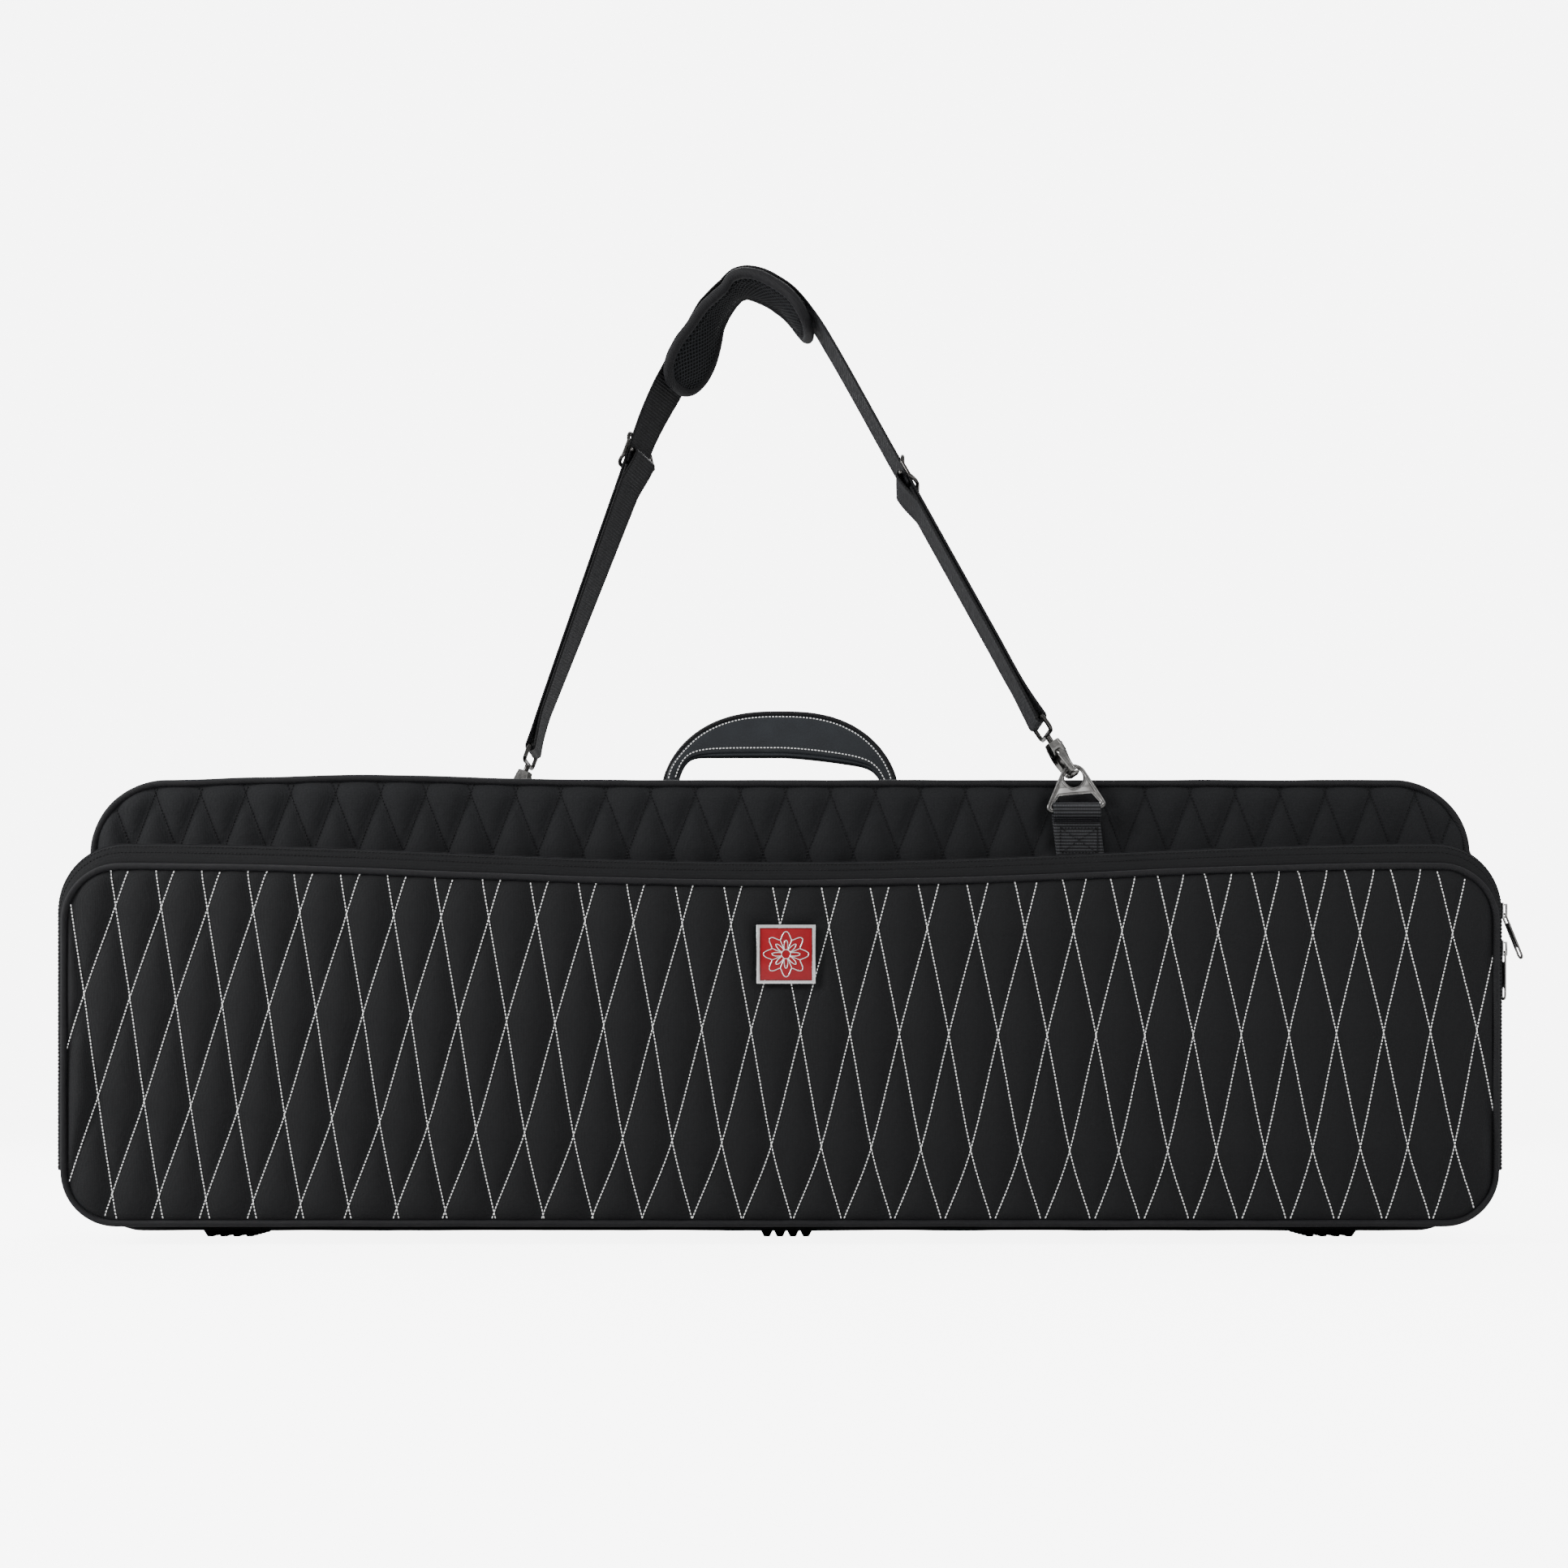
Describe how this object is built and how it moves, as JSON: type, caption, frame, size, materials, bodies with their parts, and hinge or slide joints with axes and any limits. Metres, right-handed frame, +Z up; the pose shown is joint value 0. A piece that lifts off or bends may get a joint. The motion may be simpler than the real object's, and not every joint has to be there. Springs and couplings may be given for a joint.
{
  "type": "padded zither case",
  "caption": "Soft padded carry case for a compact zither, with a zipped quilted front, a zipped front pocket, a grab handle and a hooked shoulder strap.",
  "frame": {"origin": "flat tip of the middle foot's centre tooth, where the case stands", "axes": "+Z up, +X to the right as seen from the pocket side, -Y out of the pocket's front"},
  "size_m": [1.1209, 0.2106, 0.7949],
  "materials": {
    "quilted_cloth": "matt woven, quilted",
    "lining_cloth": "brushed",
    "bound_edge": "satin corded edge",
    "webbing": "ribbed nylon webbing",
    "zip_tape": "woven tape and moulded coil",
    "pad_cloth": "open mesh",
    "hide": "grained",
    "gunmetal": "dark bright plating",
    "rubber": "matt",
    "silver_edge": "satin",
    "enamel": "glossy enamel"
  },
  "bodies": {
    "case": {"back_panel": "quilted_cloth", "case_lining": "lining_cloth", "back_piping": "bound_edge", "gusset_top": "quilted_cloth", "gusset_right": "quilted_cloth", "gusset_left": "quilted_cloth", "gusset_bottom": "quilted_cloth", "base_board": "lining_cloth", "case_zip": "zip_tape", "handle_anchor_left": "webbing", "handle_anchor_right": "webbing", "rear_ring_tab": "webbing", "foot_left": "rubber", "foot_middle": "rubber", "foot_right": "rubber"},
    "lid": {"front_panel": "quilted_cloth", "lid_lining": "lining_cloth", "front_piping": "bound_edge", "lid_gusset": "quilted_cloth", "lid_zip": "zip_tape", "pocket_rear_gusset": "quilted_cloth", "pocket_bottom": "quilted_cloth", "pocket_rear_zip": "zip_tape", "front_ring_tab": "webbing"},
    "pocket_flap": {"pocket_panel": "quilted_cloth", "pocket_lining": "lining_cloth", "pocket_piping": "bound_edge", "pocket_front_gusset": "quilted_cloth", "pocket_front_zip": "zip_tape", "badge_frame": "silver_edge", "badge_inlay": "enamel"},
    "handle": {"handle_grip": "hide"},
    "front_ring": {"front_ring": "gunmetal"},
    "rear_ring": {"rear_ring": "gunmetal"},
    "strap": {"strap_webbing": "webbing", "shoulder_pad": "pad_cloth", "front_eye": "gunmetal", "rear_eye": "gunmetal"},
    "front_adjuster": {"front_adjuster": "gunmetal"},
    "rear_adjuster": {"rear_adjuster": "gunmetal"},
    "front_hook": {"front_hook": "gunmetal"},
    "rear_hook": {"rear_hook": "gunmetal"},
    "front_gate": {"front_gate": "gunmetal"},
    "rear_gate": {"rear_gate": "gunmetal"},
    "main_upper_slider": {"main_upper_slider": "gunmetal"},
    "main_upper_puller": {"main_upper_puller": "gunmetal"},
    "main_lower_slider": {"main_lower_slider": "gunmetal"},
    "main_lower_puller": {"main_lower_puller": "gunmetal"},
    "pocket_upper_slider": {"pocket_upper_slider": "gunmetal"},
    "pocket_upper_puller": {"pocket_upper_puller": "gunmetal"},
    "pocket_lower_slider": {"pocket_lower_slider": "gunmetal"},
    "pocket_lower_puller": {"pocket_lower_puller": "gunmetal"}
  },
  "joints": [
    {"name": "lid_fold", "type": "hinge", "parent": "case", "child": "lid", "pos_m": [0, -0.058, 0.0085], "axis": [1, 0, 0], "range_deg": [0, 95]},
    {"name": "pocket_open", "type": "hinge", "parent": "lid", "child": "pocket_flap", "pos_m": [0, -0.1125, 0.015], "axis": [-1, 0, 0], "range_deg": [-85, 0]},
    {"name": "handle_fold", "type": "hinge", "parent": "case", "child": "handle", "pos_m": [0, 0, 0.369], "axis": [1, 0, 0], "range_deg": [-75, 75]},
    {"name": "front_ring_swing", "type": "hinge", "parent": "lid", "child": "front_ring", "pos_m": [0.2319, -0.07, 0.3385], "axis": [1, 0, 0], "range_deg": [0, 80]},
    {"name": "rear_ring_swing", "type": "hinge", "parent": "case", "child": "rear_ring", "pos_m": [-0.2319, 0.07, 0.3385], "axis": [-1, 0, 0], "range_deg": [0, 80]},
    {"name": "strap_swing", "type": "hinge", "parent": "case", "child": "strap", "pos_m": [-0.22858, 0.07, 0.37062], "axis": [0.9558, -0.2941, -0.0023], "range_deg": [-40, 40]},
    {"name": "front_swivel", "type": "hinge", "parent": "strap", "child": "front_hook", "pos_m": [0.22648, -0.069, 0.36954], "axis": [-0.5592, 0, 0.829], "range_deg": [-25, 25]},
    {"name": "rear_swivel", "type": "hinge", "parent": "strap", "child": "rear_hook", "pos_m": [-0.22858, 0.069, 0.37062], "axis": [0.342, 0, 0.9397], "range_deg": [-25, 25]},
    {"name": "front_gate_press", "type": "hinge", "parent": "front_hook", "child": "front_gate", "pos_m": [0.21898, -0.0746, 0.38065], "axis": [0.829, 0, 0.5592], "range_deg": [0, 20], "stiffness_Nm_per_rad": 0.01},
    {"name": "rear_gate_press", "type": "hinge", "parent": "rear_hook", "child": "rear_gate", "pos_m": [-0.224, 0.0746, 0.38321], "axis": [-0.9397, 0, 0.342], "range_deg": [0, 20], "stiffness_Nm_per_rad": 0.01},
    {"name": "front_adjust", "type": "slide", "parent": "strap", "child": "front_adjuster", "axis": [0.4417, -0.1727, -0.8804], "range_m": [0, 0.05]},
    {"name": "rear_adjust", "type": "slide", "parent": "strap", "child": "rear_adjuster", "axis": [-0.3711, 0.122, -0.9206], "range_m": [0, 0.05]},
    {"name": "main_upper_zip", "type": "hinge", "parent": "case", "child": "main_upper_slider", "pos_m": [0.485, -0.042, 0.303], "axis": [0, -1, 0], "range_deg": [0, 70]},
    {"name": "main_upper_pull", "type": "hinge", "parent": "main_upper_slider", "child": "main_upper_puller", "pos_m": [0.54697, -0.042, 0.31408], "axis": [0, -1, 0], "range_deg": [-6, 110]},
    {"name": "main_lower_zip", "type": "slide", "parent": "case", "child": "main_lower_slider", "axis": [0, 0, -1], "range_m": [0, 0.2]},
    {"name": "main_lower_pull", "type": "hinge", "parent": "main_lower_slider", "child": "main_lower_puller", "pos_m": [0.5479, -0.042, 0.2864], "axis": [0, -1, 0], "range_deg": [0, 50]},
    {"name": "pocket_upper_zip", "type": "hinge", "parent": "lid", "child": "pocket_upper_slider", "pos_m": [0.5, -0.096, 0.255], "axis": [0, -1, 0], "range_deg": [0, 70]},
    {"name": "pocket_upper_pull", "type": "hinge", "parent": "pocket_upper_slider", "child": "pocket_upper_puller", "pos_m": [0.5549, -0.096, 0.2524], "axis": [0, -1, 0], "range_deg": [-6, 110]},
    {"name": "pocket_lower_zip", "type": "slide", "parent": "lid", "child": "pocket_lower_slider", "axis": [0, 0, -1], "range_m": [0, 0.13]},
    {"name": "pocket_lower_pull", "type": "hinge", "parent": "pocket_lower_slider", "child": "pocket_lower_puller", "pos_m": [0.5549, -0.096, 0.2234], "axis": [0, -1, 0], "range_deg": [0, 50]}
  ]
}
